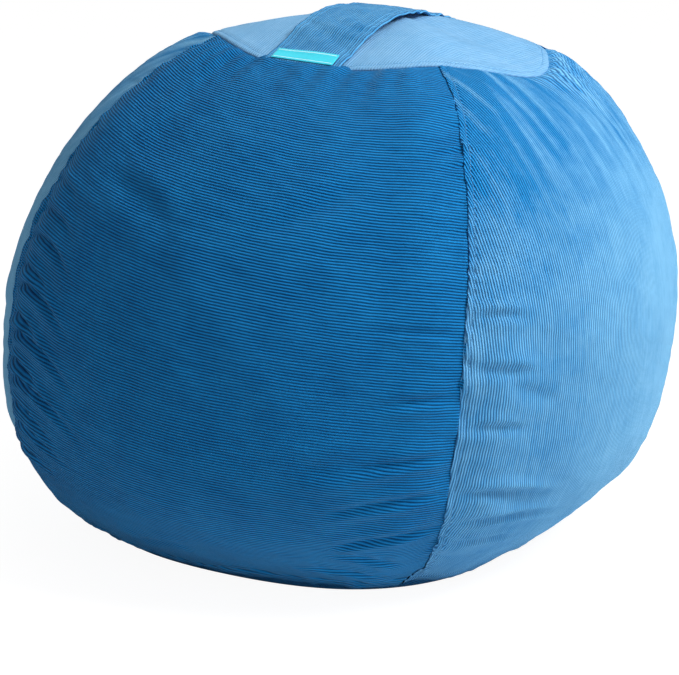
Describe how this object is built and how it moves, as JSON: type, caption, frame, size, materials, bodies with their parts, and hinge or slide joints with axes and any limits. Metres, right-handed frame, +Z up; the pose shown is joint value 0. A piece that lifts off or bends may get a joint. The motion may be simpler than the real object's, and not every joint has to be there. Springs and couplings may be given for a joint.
{
  "type": "bean bag chair",
  "caption": "Round corduroy bean bag chair: gored side panels under a domed top, a carry strap over the crown, and a zipped foot seam over a filled liner bag.",
  "frame": {"origin": "centre of the flat patch of base that rests on the floor", "axes": "+Z up, -Y out of the front panel (the strap runs from front to back, along Y), +X out of the right panel"},
  "size_m": [0.8466, 0.8442, 0.6435],
  "materials": {
    "corduroy": "ribbed pile, matte",
    "label_weave": "smooth satin weave",
    "liner_cloth": "plain matte weave",
    "zipper_tape": "matte woven tape",
    "zipper_coil": "satin nylon",
    "zipper_slider": "satin zinc",
    "zipper_stop": "satin",
    "bead_fill": "matte foam beads"
  },
  "bodies": {
    "cover": {"cover_front_panel": "corduroy", "cover_right_panel": "corduroy", "cover_back_panel": "corduroy", "cover_left_panel": "corduroy", "cover_top_panel": "corduroy", "cover_base_panel": "corduroy", "cover_zipper_tape_lower": "zipper_tape", "cover_zipper_tape_upper": "zipper_tape", "cover_zipper_coil_lower": "zipper_coil", "cover_zipper_coil_upper": "zipper_coil", "cover_zipper_end_stops": "zipper_stop", "liner_front_panel": "liner_cloth", "liner_right_panel": "liner_cloth", "liner_back_panel": "liner_cloth", "liner_left_panel": "liner_cloth", "liner_top_panel": "liner_cloth", "liner_base_panel": "liner_cloth", "liner_zipper_tape_lower": "zipper_tape", "liner_zipper_tape_upper": "zipper_tape", "liner_zipper_coil_lower": "zipper_coil", "liner_zipper_coil_upper": "zipper_coil", "liner_zipper_end_stops": "zipper_stop", "bean_fill": "bead_fill"},
    "handle": {"carry_handle": "corduroy"},
    "label": {"sewn_label": "label_weave"},
    "cover_slider": {"cover_zipper_slider": "zipper_slider"},
    "liner_slider": {"liner_zipper_slider": "zipper_slider"}
  },
  "joints": [
    {"name": "handle_lift", "type": "slide", "parent": "cover", "child": "handle", "axis": [0, 0, 1], "range_m": [0, 0.04], "deforming": ["carry_handle"]},
    {"name": "label_flip", "type": "hinge", "parent": "cover", "child": "label", "pos_m": [0.05541, -0.17846, 0.60303], "axis": [0.9981, -0.001, -0.0619], "range_deg": [0, 150]},
    {"name": "cover_zipper_slide", "type": "hinge", "parent": "cover", "child": "cover_slider", "pos_m": [0, 0, 0.0196], "axis": [0, 0, 1], "range_deg": [0, 74]},
    {"name": "liner_zipper_slide", "type": "hinge", "parent": "cover", "child": "liner_slider", "pos_m": [0, 0, 0.03], "axis": [0, 0, 1], "range_deg": [0, 54]}
  ]
}
